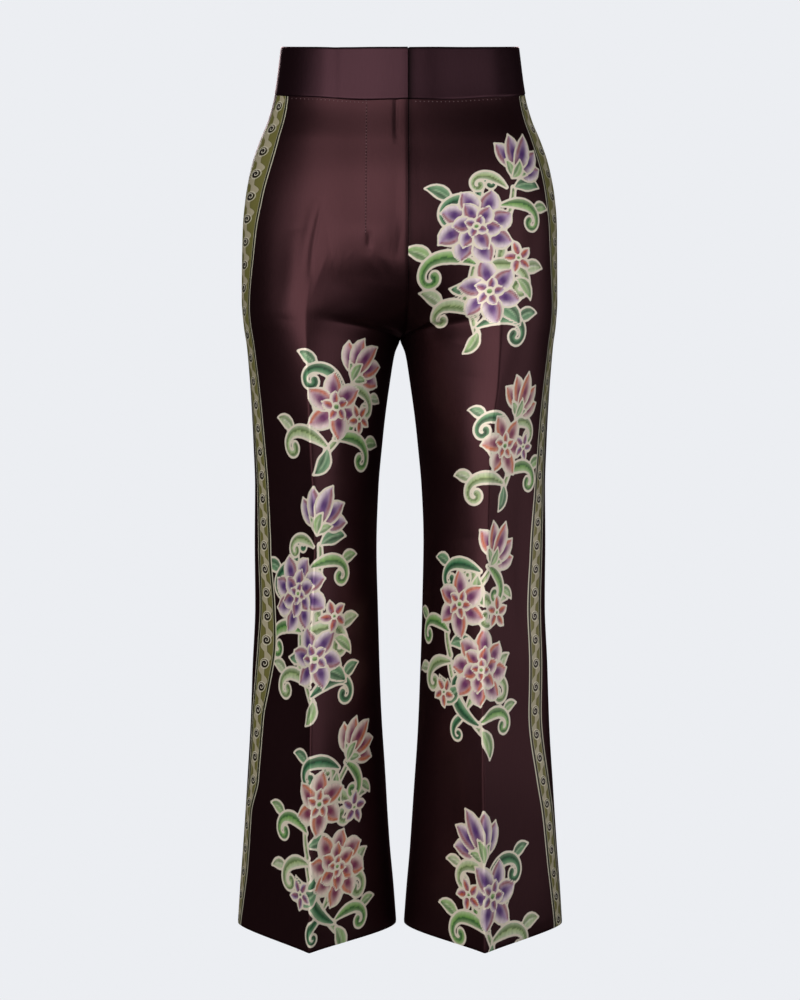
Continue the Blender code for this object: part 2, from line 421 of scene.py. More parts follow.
def readRows(text, **wanted):  # a dictionary for each row that holds what is wanted
    names, rows = readLines(text)
    rows = [dict(zip(names, [w if w[0].isalpha() else float(w) for w in row])) for row in rows]
    return [row for row in rows if all(row[name] == value for name, value in wanted.items())]


tables = {name: readTable(text) for name, text in shapeTexts.items()}


def knotSlopes(x, y):
    step = np.diff(x)
    rise = np.diff(y) / step
    slopes = np.empty_like(y)
    slopes[0], slopes[-1] = rise[0], rise[-1]
    for k in range(1, len(y) - 1):
        before, after = rise[k - 1], rise[k]
        if before * after <= 0:
            slopes[k] = 0
            continue
        near, far = 2 * step[k] + step[k - 1], step[k] + 2 * step[k - 1]
        slopes[k] = (near + far) / (near / before + far / after)
    return slopes


def hermite(start, startPull, end, endPull, t):
    return (
        (1 + 2 * t) * (1 - t) ** 2 * start
        + t * (1 - t) ** 2 * startPull
        + t * t * (3 - 2 * t) * end
        + t * t * (t - 1) * endPull
    )


def columnAt(table, column, heights):  # the CAD's own interpolation, for many heights at once
    x, y = tables[table]["z"], tables[table][column]
    slopes = knotSlopes(x, y)
    k = np.clip(np.searchsorted(x, heights) - 1, 0, len(x) - 2)
    step = x[k + 1] - x[k]
    return hermite(y[k], slopes[k] * step, y[k + 1], slopes[k + 1] * step, (heights - x[k]) / step)


def blend(first, second, share):
    return (1 - share) * first + share * second


def bell(distance, reach):
    return np.exp(-((distance / reach) ** 2))


def runAlong(rows):  # distance run along each row of points
    steps = np.linalg.norm(np.diff(rows, axis=1), axis=2)
    return np.concatenate([np.zeros((len(rows), 1)), np.cumsum(steps, axis=1)], axis=1)


def evenly(start, startPull, end, endPull, count, fineCount=96):
    # points on each row's curve, the same distance apart along it
    start, startPull, end, endPull = [v[:, None, :] for v in (start, startPull, end, endPull)]
    fine = np.linspace(0, 1, fineCount + 1)
    reach = runAlong(hermite(start, startPull, end, endPull, fine[None, :, None]))
    shares = np.linspace(0, 1, count + 1)
    t = np.array([np.interp(shares * row[-1], row, fine) for row in reach])
    return hermite(start, startPull, end, endPull, t[:, :, None])


def surfaceRows(heights, face, side, outerCount, innerCount):
    # rows of a panel or of the band in millimetres, from the side seam to the inner end
    heights = np.asarray(heights, float)
    towards = -1 if face == "front" else 1
    flat = np.ones_like(heights)

    def at(table, column):
        return columnAt(table, column, heights)

    innerX = at("outline", "innerX") + seamGap / 2
    if face == "front":
        along = np.clip((flyEndZ - heights) / (flyEndZ - forkSideZ), 0, 1)
        edge = flyEdgeX * (1 - along) * (1 + along)
        innerX = innerX + edge if side == "left" else innerX - edge
    innerY = at(face, "innerY") + (heights <= forkSideZ) * towards * seamGap / 2
    seam = np.stack([at("outline", "sideX"), flat * towards * seamGap / 2, heights], axis=1)
    creaseX = at("crease", "back" if face == "back" else side)
    crease = np.stack([creaseX, at(face, "creaseY"), at(face, "creaseZ")], axis=1)
    inner = np.stack([innerX, innerY, at(face, "innerZ")], axis=1)
    bend = at(face, "bend")
    pressed = at(face, "pressed")[:, None]
    turn = np.radians(at(face, "turn"))
    outer, half = crease - seam, inner - crease

    fall = np.abs(bend * outer[:, 0] / outer[:, 1])
    endAngle = np.arccos(fall / (1 - fall))
    quarter = 4 * np.tan(endAngle / 4)
    startShare, endShare = quarter / np.sin(endAngle), quarter / np.tan(endAngle / 2)
    slope = np.stack([0 * flat, flat, at("outline", "slope")], axis=1)
    seamPull = blend(startShare[:, None], flatSidePull, pressed) * outer[:, 1:2] * slope
    rise = outer[:, 2] / outer[:, 1]
    along = np.stack([-flat, towards * bend, towards * bend * rise], axis=1)
    outerPull = blend(endShare[:, None] * np.abs(outer[:, :1]) * along, outer, pressed)
    bulge = roundPull + tubePull * np.sin(turn)
    firm = at("crease", "firm")[:, None]
    halfPull = blend(bulge[:, None] * np.abs(half[:, :1]) * along, half, pressed * firm)
    innerPull = np.stack([
        roundPull * half[:, 0] * np.cos(turn),
        blend(bulge, flatInseamPull, pressed[:, 0]) * half[:, 1] * np.sin(turn),
        0 * flat,
    ], axis=1)
    innerPull[np.abs(inner[:, 1]) > np.abs(crease[:, 1]), 1] = 0
    first = evenly(seam, seamPull, crease, outerPull, outerCount)
    second = evenly(crease, halfPull, inner, innerPull, innerCount)
    return np.concatenate([first, second[:, 1:]], axis=1), pressed[:, 0]


def mirrorOf(name):  # every wall is worked out for the wearer's left
    return 1 if name.endswith("Left") else -1


def gridNormals(points):  # outward for the wearer's left front
    across = np.gradient(points, axis=1)
    down = np.gradient(points, axis=0)
    normal = np.cross(across, down)
    return normal / np.maximum(np.linalg.norm(normal, axis=2, keepdims=True), 1e-9)


def alongPath(places, path):
    # distance from a path, share of the way along it, and which side of it, for each flat place
    steps = np.linalg.norm(np.diff(path, axis=0), axis=1)
    run = np.concatenate([[0], np.cumsum(steps)])
    best = np.full(len(places), 1e9)
    share = np.zeros(len(places))
    hand = np.zeros(len(places))
    for k, step in enumerate(steps):
        way = path[k + 1] - path[k]
        t = np.clip((places - path[k]) @ way / (step * step), 0, 1)
        off = places - path[k] - t[:, None] * way
        distance = np.hypot(off[:, 0], off[:, 1])
        closer = distance < best
        best = np.where(closer, distance, best)
        share = np.where(closer, (run[k] + t * step) / run[-1], share)
        hand = np.where(closer, np.sign(way[0] * off[:, 1] - way[1] * off[:, 0]), hand)
    return best, share, hand


def bowed(x1, y1, x2, y2, bow, count=12):
    start, end = np.array([x1, y1], float), np.array([x2, y2], float)
    way = end - start
    across = np.array([way[1], -way[0]]) / max(np.linalg.norm(way), 1e-6)
    middle = (start + end) / 2 + across * bow * 2
    t = np.linspace(0, 1, count + 1)[:, None]
    return (1 - t) ** 2 * start + 2 * t * (1 - t) * middle + t * t * end


def colourOf(code):  # a colour code as linear light
    parts = np.array([int(code[k:k + 2], 16) for k in (0, 2, 4)]) / 255
    return np.where(parts <= 0.04045, parts / 12.92, ((parts + 0.055) / 1.055) ** 2.4)


def frontFacets(fromLap, z, low=-285.0, high=-190.0):
    # both fronts lie flatter than an oval between the fly's edge and the crease
    fade = np.clip((z - low) / (high - low), 0, 1)
    facet = -panelLook["facet"] * bell(fromLap - panelLook["facetMiddle"], panelLook["facetReach"])
    return facet * fade * fade * (3 - 2 * fade)


def columnRamp(heights, low, high):  # 1 under low, nothing above high
    return np.clip((high - heights) / (high - low), 0, 1)


def addFolds(points, name):
    # height of the soft folds and of the cloth's own slight unevenness at every point
    columns = points[..., 0] * mirrorOf(name) / pixel + middleColumn
    view = np.stack([columns.ravel(), originRow - points[..., 2].ravel() / pixel], axis=1)
    height = np.zeros(len(view))
    for fold in readRows(foldText, piece=name):
        path = bowed(fold["x1"], fold["y1"], fold["x2"], fold["y2"], fold["bow"], 8)
        reach = fold["width"] * 3 / pixel
        near = ((view > path.min(0) - reach) & (view < path.max(0) + reach)).all(axis=1)
        distance, share, _ = alongPath(view[near], path)
        fade = np.sin(np.pi * np.clip(share, 0.02, 0.98)) ** 0.7
        height[near] += fold["height"] * fade * bell(distance * pixel, fold["width"])
    rng = np.random.default_rng(sum(map(ord, name.lower())))
    x, z = points[..., 0].ravel(), points[..., 2].ravel()
    for _ in range(5):
        wave = rng.uniform(70, 170)
        heading = rng.uniform(0, math.pi)
        height += rng.uniform(0.15, 0.35) * np.sin(
            2 * math.pi * (x * math.cos(heading) + z * math.sin(heading)) / wave + rng.uniform(0, 6)
        )
    return height.reshape(points.shape[:2])


def petalShade(palette):
    dark, middle, pale, warm = [colourOf(c) for c in palette]

    def shade(share, across, hand, distance, depth):
        colour = blend(middle, pale, np.clip(across * 1.5 + (share - 0.7) * 0.8, 0, 1)[:, None])
        streak = bell(share - 0.46, 0.25) * np.clip(1.5 - across * 2.3, 0, 1)
        colour = blend(colour, dark, np.clip(streak, 0, 1)[:, None])
        colour = blend(colour, warm * [0.42, 0.16, 0.30], np.clip(1.25 - share * 3.4, 0, 1)[:, None])
        side = np.clip(1.1 - np.abs(depth - 3.4) / 3.2, 0, 1) * np.clip(share * 3 - 0.3, 0, 1)
        return blend(colour, warm, (side * np.where(hand > 0, 0.95, 0.1))[:, None])

    return shade


def greenShade(greens, vein=0.0):
    dark, middle, pale = [colourOf(c) for c in greens]

    def shade(share, across, hand, distance, depth):
        colour = blend(middle, pale, across[:, None] ** 1.2 * 0.95)
        shaded = np.clip(1.15 - across, 0, 1) * np.where(hand > 0, 0.85, 0.12) + np.clip(share - 0.8, 0, 1)
        colour = blend(colour, dark, np.clip(shaded, 0, 1)[:, None])
        rib = vein * bell(distance, 1.3) * np.clip(4 - share * 4.6, 0, 1)
        return blend(colour, pale, rib[:, None])

    return shade


def paintShape(art, path, widths, shade):
    # draws one shape over what is there: art keeps the distance to the nearest outline, plus inside a shape
    reach = max(widths) + 6
    place = art["place"]
    near = np.flatnonzero(((place > path.min(0) - reach) & (place < path.max(0) + reach)).all(axis=1))
    if not len(near):
        return
    distance, share, hand = alongPath(place[near], path)
    width = np.interp(share, np.linspace(0, 1, len(widths)), widths)
    depth = width - distance
    old = art["edge"][near]
    outside = np.where(old > 0, np.minimum(old, -depth), np.maximum(old, depth))
    art["edge"][near] = np.where(depth > 0, depth, outside)
    covers = (depth > 0) | ((depth > -2.2) & (old < -depth) & (old < 0))
    colour = shade(share, np.clip(distance / (width + 0.1), 0, 1), hand, distance, depth)
    art["colour"][near[covers], :3] = colour[covers]


def ahead(x, y, heading, reach):
    return x + reach * math.cos(heading), y + reach * math.sin(heading)


def paintStem(art, x, y, heading, size, greens):
    path = bowed(x, y, *ahead(x, y, heading, abs(size)), size * 0.09)
    paintShape(art, path, [3.4, 3.0, 2.6], greenShade(greens))


def paintLeaf(art, x, y, heading, size, greens):
    length = abs(size)
    path = bowed(x, y, *ahead(x, y, heading, length), size * 0.13)
    widths = [w * length * 0.24 for w in (0.16, 0.6, 0.94, 1.0, 0.84, 0.5, 0.04)]
    paintShape(art, path, widths, greenShade(greens, vein=0.8))


def paintScroll(art, x, y, heading, size, greens):
    # a stem that swells and coils up to a knob; a long one has a small scroll and a leaf on its outer side
    length, hand, steps = abs(size), math.copysign(1, size), 34
    path, ways, place, way = [], [], np.array([x, y], float), heading
    for k in range(steps):
        path.append(place)
        ways.append(way)
        along = k / steps
        way += hand * (0.04 + 0.42 * along ** 1.7)
        place = place + length / steps * (1.3 - 0.75 * along) * np.array([math.cos(way), math.sin(way)])
    if length > 90:
        paintScroll(art, *path[5], ways[5] - hand * 0.85, -hand * length * 0.52, greens)
    if length > 70:
        paintLeaf(art, *path[14], ways[14] - hand * 0.8, hand * length * 0.30, greens)
    widths = [w * (length / 108) ** 0.6 for w in (2.2, 4.8, 6.8, 7.4, 6.8, 5.6, 4.6, 3.8, 4.4, 5.4)]
    paintShape(art, np.array(path), widths, greenShade(greens))


def paintPetal(art, x, y, heading, near, far, wide, palette):
    path = bowed(*ahead(x, y, heading, near), *ahead(x, y, heading + 0.1, far), far * 0.06)
    widths = [w * wide for w in (0.34, 0.72, 0.96, 1.0, 0.9, 0.62, 0.05)]
    paintShape(art, path, widths, petalShade(palette))


# the rings of petals of a flower seen from the front, and its heart: shares of its size
ringText = """
flower  count turn near  far  wide
open        6    0 0.05 0.53 0.165
open        5  0.4 0.03 0.24 0.078
rosette     8    0 0.18 0.54  0.15
rosette     6 0.35 0.06 0.34 0.115
rosette     4    0 0.02 0.16 0.065
star        5    0 0.06 0.54 0.155
"""
hearts = {"open": 0.055, "rosette": 0.04, "star": 0.08}


def paintFlower(art, x, y, heading, size, palette, flower):
    for ring in readRows(ringText, flower=flower):
        count = int(ring["count"])
        for k in [*range(0, count, 2), *range(1, count, 2)]:  # every other petal lies over its neighbours
            far = size * ring["far"] * (1 + 0.05 * math.sin(4 * k))
            way = heading + ring["turn"] + k * 2 * math.pi / count
            paintPetal(art, x, y, way, size * ring["near"], far, size * ring["wide"], palette)
    heart = size * hearts[flower]
    paintShape(art, np.array([[x - 0.5, y], [x + 0.5, y]]), [heart, heart], greenShade(printLook["heart"]))


def paintBell(art, x, y, heading, size, palette):
    # a flower seen from the side: a fan of petals out of a green cup with two sepals
    for off in (-1.0, 1.0, -0.5, 0.5, 0.0):
        far = size * (1.0 - 0.2 * abs(off))
        paintPetal(art, x, y, heading + off, size * 0.1, far, size * 0.205, palette)
    cup = ahead(x, y, heading, -size * 0.14)
    for off, reach in ((-0.85, -0.44), (0.85, 0.44), (0.0, 0.5)):
        paintLeaf(art, *cup, heading + off, size * reach, printLook["greens"]["fresh"])


greenPainters = {"stem": paintStem, "scroll": paintScroll, "leaf": paintLeaf}


def paintBouquet(art, spot):
    # the parts of one bouquet, turned, scaled and maybe mirrored to their place
    names = list(printLook["palettes"])
    first = names.index(spot["colour"])
    colours = dict(printLook["greens"])
    colours["first"] = printLook["palettes"][names[first]]
    colours["second"] = printLook["palettes"][names[(first + 1) % len(names)]]
    scale, turn = spot["scale"], math.radians(spot["turn"])
    for part in readRows(bouquetParts[spot["bouquet"]]):
        x, y = part["x"] * scale, part["y"] * abs(scale)
        heading = math.radians(part["turn"])
        if scale < 0:
            heading = math.pi - heading
        place = (
            spot["x"] + x * math.cos(turn) - y * math.sin(turn),
            spot["y"] + x * math.sin(turn) + y * math.cos(turn),
        )
        kind, colour = part["kind"], colours[part["colour"]]
        if kind in greenPainters:
            greenPainters[kind](art, *place, heading + turn, part["size"] * scale, colour)
        elif kind == "bell":
            paintBell(art, *place, heading + turn, part["size"] * abs(scale), colour)
        else:
            paintFlower(art, *place, heading + turn, part["size"] * abs(scale), colour, kind)


def makeArt(name, reach, heights):
    # the print as values at every point: distance to an outline, paint, and place on the side border
    fromCrease = reach - reach[:, panelLook["outerColumns"], None]
    down = np.repeat(-heights[:, None], reach.shape[1], axis=1)
    art = {
        "place": np.stack([fromCrease.ravel(), down.ravel()], axis=1),
        "edge": np.full(reach.size, -40.0),
        "colour": np.tile([0.0, 0.0, 0.0, 1.0], (reach.size, 1)),
    }
    for spot in readRows(bouquetText, piece=name):
        paintBouquet(art, spot)
    side = "left" if name.endswith("Left") else "right"
    middle, halfWidth = [columnAt("border", side + part, heights)[:, None] for part in ("Middle", "Half")]
    border = np.stack([reach - middle, down / borderLook["pitch"], halfWidth + 0 * down], axis=2)
    art["border"] = border.reshape(-1, 3)
    art["edge"][art["border"][:, 0] < 0] = -6  # nothing but the border towards the side seam
    art["edge"] = np.clip(art["edge"], -6, 6)
    return art


def rimLoop(lastColumn, rows):
    # coarse places round the cloth's edge: down the side seam, along the hem and up the inner end
    loop = [(i, 0) for i in range(rows)]
    loop += [(rows - 1, j) for j in range(1, lastColumn[-1] + 1)]
    for i in range(rows - 2, -1, -1):
        for j in range(lastColumn[i + 1] + 1, lastColumn[i] + 1):
            loop.append((i + 1 if lastColumn[i] > lastColumn[i + 1] else i, j))
        loop.append((i, lastColumn[i]))
    loop += [(0, j) for j in range(lastColumn[0] - 1, 0, -1)]
    return loop


def selectOnly(*pieces):  # the last one is the active one
    bpy.ops.object.select_all(action="DESELECT")
    for piece in pieces:
        piece.select_set(True)
        bpy.context.view_layer.objects.active = piece


def clothObject(name, outer, inner, marks, lastColumns, turned, shade, art=None):
    # a closed shell: the dense outer wall, the coarse inner one, and a rim of faces that joins them. Marks
    # are the dense rows and columns under the coarse ones, lastColumns each row's last one on either wall.
    rows, columns = outer.shape[:2]
    rowMarks, columnMarks = marks
    lastDense, lastCoarse = lastColumns
    index = np.arange(rows * columns).reshape(rows, columns)
    innerIndex = rows * columns + np.arange(inner.size // 3).reshape(inner.shape[:2])
    loops, sizes, places = [], [], []

    def addQuads(grid, last, u0, u1, flip):
        high, wide = grid.shape
        u, v = u0 + (u1 - u0) * np.arange(wide) / (wide - 1), 1 - np.arange(high) / (high - 1)
        i, j = np.nonzero(np.arange(wide - 1) < np.minimum(last[:-1], last[1:])[:, None])
        i, j = np.stack([i, i, i + 1, i + 1], axis=1), np.stack([j, j + 1, j + 1, j], axis=1)
        if flip:
            i, j = i[:, ::-1], j[:, ::-1]
        loops.append(grid[i, j].ravel())
        places.append(np.stack([u[j], v[i]], axis=2).reshape(-1, 2))
        sizes.append(np.full(len(i), 4))

    addQuads(index, lastDense, 0.0, 0.80, turned)
    addQuads(innerIndex, lastCoarse, 0.82, 0.96, not turned)
    loop = rimLoop(lastCoarse, len(rowMarks))
    innerShade = np.zeros(inner.shape[:2])
    for k, (a, b) in enumerate(zip(loop, loop[1:] + loop[:1])):
        first, second = [(rowMarks[i], columnMarks[j]) for i, j in (a, b)]
        # the rim's inner points take the painted shade of the outer wall's edge
        innerShade[a] = shade[first]
        down, across = second[0] - first[0], second[1] - first[1]
        count = max(abs(down), abs(across))
        way = [(first[0] + down * m // count, first[1] + across * m // count) for m in range(count + 1)]
        face = [index[p] for p in way] + [innerIndex[b], innerIndex[a]]
        uv = [(0.97, (k + m / count) / len(loop)) for m in range(count + 1)]
        uv += [(0.985, (k + 1) / len(loop)), (0.985, k / len(loop))]
        if turned:
            face, uv = face[::-1], uv[::-1]
        loops.append(np.array(face))
        places.append(np.array(uv))
        sizes.append(np.array([len(face)]))

    loops, sizes = np.concatenate(loops), np.concatenate(sizes)
    used = np.zeros(index.size + innerIndex.size, bool)
    used[loops] = True
    renumber = np.cumsum(used) - 1
    points = np.concatenate([outer.reshape(-1, 3), inner.reshape(-1, 3)]) * [mirrorOf(name), 1, 1] * 0.001
    mesh = bpy.data.meshes.new(name)
    mesh.vertices.add(int(used.sum()))
    mesh.vertices.foreach_set("co", points[used].astype(np.float32).ravel())
    mesh.loops.add(len(loops))
    mesh.loops.foreach_set("vertex_index", renumber[loops].astype(np.int32))
    mesh.polygons.add(len(sizes))
    mesh.polygons.foreach_set("loop_start", (np.cumsum(sizes) - sizes).astype(np.int32))
    mesh.update(calc_edges=True)

    def addAttribute(label, kind, key, dense, coarse):
        values = [v.reshape(grid.size, -1) for v, grid in ((dense, index), (coarse, innerIndex))]
        data = mesh.attributes.new(label, kind, "POINT").data
        data.foreach_set(key, np.concatenate(values)[used].astype(np.float32).ravel())

    # painted shade at the seams and by the lap, kept on the points
    addAttribute("seamShade", "FLOAT", "value", shade, innerShade)
    layer = mesh.uv_layers.new(name="OFBake")
    layer.data.foreach_set("uv", np.concatenate(places).astype(np.float32).ravel())
    if art is not None:
        plain = np.ones((innerIndex.size, 1))
        addAttribute("printEdge", "FLOAT", "value", art["edge"], plain * -6)
        addAttribute("printColour", "FLOAT_COLOR", "color", art["colour"], plain * [0, 0, 0, 1])
        addAttribute("borderPlace", "FLOAT_VECTOR", "vector", art["border"], plain * [99, 0, 10])
    if mesh.validate():
        print("mended", name)
    obj = bpy.data.objects.new(name, mesh)
    bpy.context.scene.collection.objects.link(obj)
    selectOnly(obj)
    bpy.ops.object.shade_smooth_by_angle(angle=math.radians(55))
    print("cloth", name, len(mesh.polygons), "faces")
    return obj


def lapColumns(points, rows, step, endClearance):
    # the columns that carry the left front, or the band, in under the lap, for the first rows
    clearance = np.interp(np.arange(len(points)), [0, rows], [lapClearance, endClearance])
    edge = points[:, -1] + clearance[:, None] * [1, 0, 0]
    under = edge + [-0.1, step, 0]
    tip = np.stack([np.full(len(points), underlapEndX), under[:, 1], under[:, 2]], axis=1)
    out = points.copy()
    out[:rows, -1] = edge[:rows]
    extra = np.stack([under, blend(under, tip, 0.5), tip], axis=1)
    return np.concatenate([out, extra], axis=1)


def lapInner(outerPart, wall):
    # the inner wall of those columns, with the corner of the step one wall further in
    corner = outerPart[:, 0] + [wall, wall, 0]
    under = outerPart[:, 1] + [wall, wall, 0]
    rest = outerPart[:, 2:] + [0, wall, 0]
    return np.concatenate([corner[:, None], under[:, None], rest], axis=1)


def carriedUnder(values):  # the last column again for the three columns under the lap
    return np.concatenate([values, np.repeat(values[:, -1:], 3, axis=1)], axis=1)


panelHeights = np.concatenate([
    np.linspace(bandSeamZ, underlapEndZ, panelLook["rowsAboveUnderlapEnd"] + 1),
    np.linspace(underlapEndZ, hemZ, panelLook["rowsBelowUnderlapEnd"] + 1)[1:],
])
lapHeights = (1 - columnRamp(panelHeights, flyEndZ, flyEndZ + panelLook["lapFade"]))[:, None]


def makePanel(face, side):
    name = face + side.capitalize()
    look = panelLook
    crease = look["outerColumns"]
    points, pressed = surfaceRows(panelHeights, face, side, crease, look["innerColumns"])
    below = surfaceRows([bandSeamZ - 1], face, side, crease, look["innerColumns"])[0][0]
    points[0] += (below - points[0]) * bandSeamGap
    soft = points.copy()
    for _ in range(3):
        soft[:, 1:-1] = (soft[:, :-2] + 2 * soft[:, 1:-1] + soft[:, 2:]) / 4
    nearCrease = slice(crease - look["creaseSoft"], crease + look["creaseSoft"] + 1)
    points[:, nearCrease] = blend(points[:, nearCrease], soft[:, nearCrease], pressed[:, None, None])
    reach = runAlong(points)
    art = makeArt(name, reach, panelHeights)

    normals = gridNormals(points) * (-1 if face == "back" else 1)
    toEdge = np.minimum(reach, reach[:, -1:] - reach)
    toEdge = np.minimum(toEdge, panelHeights[:, None] - hemZ)
    height = addFolds(points, name) * np.clip(toEdge / look["foldMargin"], 0, 1)
    if face == "front":
        fromLap = points[..., 0] + (flyEdgeX if side == "right" else -flyEdgeX)
        height += frontFacets(fromLap, points[..., 2])
        if side == "right":
            height += look["lapLift"] * bell(fromLap, look["lapLiftReach"]) * lapHeights
    ridge = look["creaseRidge"] * bell(reach - reach[:, crease, None], look["creaseRidgeReach"])
    height += ridge * pressed[:, None]
    height -= look["seamDip"] * bell(toEdge, look["seamDipReach"])
    outer = points + normals * height[..., None]
    # edges keep to their seam's own plane, so that no light shows between two panels
    fork = int(np.sum(panelHeights > forkSideZ))
    outer[:, 0, 1] = points[:, 0, 1]
    outer[:fork, -1, 0] = points[:fork, -1, 0]
    outer[fork:, -1, 1] = points[fork:, -1, 1]
    outer[fork - 2:fork + 2, -1] = points[fork - 2:fork + 2, -1]
    # painted shade along every edge of the panel, where its seams lie in shade
    shade = look["seamShade"] * bell(toEdge, look["seamShadeReach"])

    rows, columns = outer.shape[:2]
    coarse = look["coarseStep"]
    rowMarks, columnMarks = list(range(0, rows, coarse)), list(range(0, columns, coarse))
    inner = outer[rowMarks][:, columnMarks] - normals[rowMarks][:, columnMarks] * look["wall"]
    lastDense, lastCoarse = np.full(rows, columns - 1), np.full(len(rowMarks), len(columnMarks) - 1)
    if name == "frontRight":
        # no painted seam shade on the lap's folded edge above the fly's end
        shade[:, -1] *= columnRamp(panelHeights, flyEndZ - 10, flyEndZ)
    if name == "frontLeft":
        # painted shadow: the soft shadow that the lap throws on the cloth beside it
        beside = look["lapShadow"] * bell(reach[:, -1:] - reach, look["lapShadowReach"])
        shade = np.maximum(shade, beside * lapHeights)
        lapRows, lapCoarse = look["rowsAboveUnderlapEnd"] + 1, look["rowsAboveUnderlapEnd"] // coarse + 1
        outer = lapColumns(outer, lapRows, flyStep, lapEndClearance)
        # painted shade on the step down under the lap
        shade[:lapRows, -1] = np.linspace(look["underlapShade"], look["underlapEndShade"], lapRows)
        shade = carriedUnder(shade)
        lap = lapInner(outer[rowMarks][:, columns - 1:], look["wall"])
        inner = np.concatenate([inner, lap[:, 1:]], axis=1)
        inner[:lapCoarse, len(columnMarks) - 1] = lap[:lapCoarse, 0]
        lastDense[:lapRows] += 3
        lastCoarse[:lapCoarse] += 3
        columnMarks = columnMarks + [columns, columns + 1, columns + 2]
        for key in ("edge", "colour", "border"):
            art[key] = carriedUnder(art[key].reshape(rows, columns, -1))
        art["edge"][:, columns:] = -6  # no print under the lap
    turned = (face == "back") != (side == "right")
    marks, lastColumns = (rowMarks, columnMarks), (lastDense, lastCoarse)
    piece = clothObject(name, outer, inner, marks, lastColumns, turned, shade, art)
    piece.data.materials.append(printedSatin)
    return piece, outer


def makeBand(side):
    name, look = "waistband" + side.capitalize(), bandLook
    mirror = mirrorOf(name)
    share = np.linspace(0, 1, look["rows"] + 1)
    share = share - look["crowding"] * np.sin(2 * math.pi * share) / (2 * math.pi)
    heights = waistTopZ + (bandSeamZ - waistTopZ) * share
    back = surfaceRows(heights, "back", side, look["outerColumns"], look["innerColumns"])[0][:, :0:-1]
    front = surfaceRows(heights, "front", side, look["outerColumns"], look["innerColumns"])[0]
    front[:, 0, 1] = 0
    points = np.concatenate([back, front], axis=1)
    points[:, 0, 0] = backSeamGap / 2
    normals = gridNormals(points)
    toEdge = np.minimum(waistTopZ - heights, heights - bandSeamZ)
    dip = look["edgeRound"] * bell(toEdge, look["edgeRoundReach"])[:, None]
    x = points[..., 0] * mirror
    inFront = points[..., 1] < 0
    fromLap = (x - flyEdgeX) * mirror
    wave = frontFacets(fromLap, points[..., 2]) - look["dent"] * bell(x - look["dentX"], look["dentReach"])
    if side == "right":
        wave = wave + panelLook["lapLift"] * bell(fromLap, look["lapLiftReach"])
    wave = wave * inFront
    outer = points + normals * (look["proud"] - dip + wave)[..., None]
    inner = points + normals * (look["proud"] - look["wall"] + dip * look["innerRound"] + wave)[..., None]
    rise = look["rise"] + look["lapRise"] * bell(fromLap - look["lapRiseX"], look["lapRiseReach"])
    rise = rise * np.clip(-points[..., 1] / look["frontDepth"], 0, 1) * (1 - share[:, None])
    outer[..., 2] += rise
    inner[..., 2] += rise
    rows, columns = outer.shape[:2]
    # painted shade along the band's lower seam
    shade = panelLook["seamShade"] * bell(heights - bandSeamZ, look["seamShadeReach"])
    shade = np.tile(shade[:, None], (1, columns))
    if side == "left":
        # painted shadow beside the band's lap, in front only
        shade = np.maximum(shade, panelLook["lapShadow"] * bell(fromLap, look["lapShadowReach"]) * inFront)
        outer = lapColumns(outer, rows, bandStep, lapClearance * 0.8)
        # painted shade on the step under the band's lap
        shade[:, -1] = panelLook["underlapShade"]
        shade = carriedUnder(shade)
        inner = np.concatenate([inner[:, :-1], lapInner(outer[:, columns - 1:], look["wall"])], axis=1)
        columns += 3
    marks = list(range(rows)), list(range(columns))
    lastColumns = [np.full(rows, columns - 1)] * 2
    piece = clothObject(name, outer, inner, marks, lastColumns, side == "right", shade)
    piece.data.materials.append(bandSatin)
    return piece, outer


class Signal:  # what a node puts out, to reckon with as with a number
    def __init__(self, socket):
        self.socket = socket

    def __add__(self, other):
        return calc("ADD", self, other)

    def __sub__(self, other):
        return calc("SUBTRACT", self, other)

    def __rsub__(self, other):
        return calc("SUBTRACT", other, self)

    def __mul__(self, other):
        return calc("MULTIPLY", self, other)

    def __truediv__(self, other):
        return calc("DIVIDE", self, other)

    def __abs__(self):
        return calc("ABSOLUTE", self)


def feed(socket, value):  # a number, a colour code or a signal
    if isinstance(value, Signal):
        socket.id_data.links.new(value.socket, socket)
    elif isinstance(value, str):
        socket.default_value = (*colourOf(value), 1)
    else:
        socket.default_value = value


def addNode(near, kind, **settings):  # a node in the tree that a signal or a socket belongs to
    socket = near.socket if isinstance(near, Signal) else near
    node = socket.id_data.nodes.new("ShaderNode" + kind)
    for label, value in settings.items():
        setattr(node, label, value)
    return node


def calc(operation, *values, clamp=False):
    near = [v for v in values if isinstance(v, Signal)][0]
    node = addNode(near, "Math", operation=operation, use_clamp=clamp)
    for socket, value in zip(node.inputs, values):
        feed(socket, value)
    return Signal(node.outputs[0])


def mixColour(share, first, second):
    node = addNode(share, "Mix", data_type="RGBA")
    feed(node.inputs[0], share)
    for socket, value in zip([s for s in node.inputs if s.type == "RGBA"], (first, second)):
        feed(socket, value)
    return Signal([s for s in node.outputs if s.type == "RGBA"][0])


def scaled(colour, amount):
    node = addNode(amount, "VectorMath", operation="SCALE")
    feed(node.inputs[0], colour)
    feed(node.inputs["Scale"], amount)
    return Signal(node.outputs[0])


def noise(place, scale, detail, stretch=(1, 1, 1)):
    shaped, node = addNode(place, "Mapping"), addNode(place, "TexNoise")
    feed(shaped.inputs["Scale"], stretch)
    feed(shaped.inputs["Vector"], place)
    feed(node.inputs["Scale"], scale)
    feed(node.inputs["Detail"], detail)
    feed(node.inputs["Vector"], Signal(shaped.outputs[0]))
    return Signal(node.outputs[0])


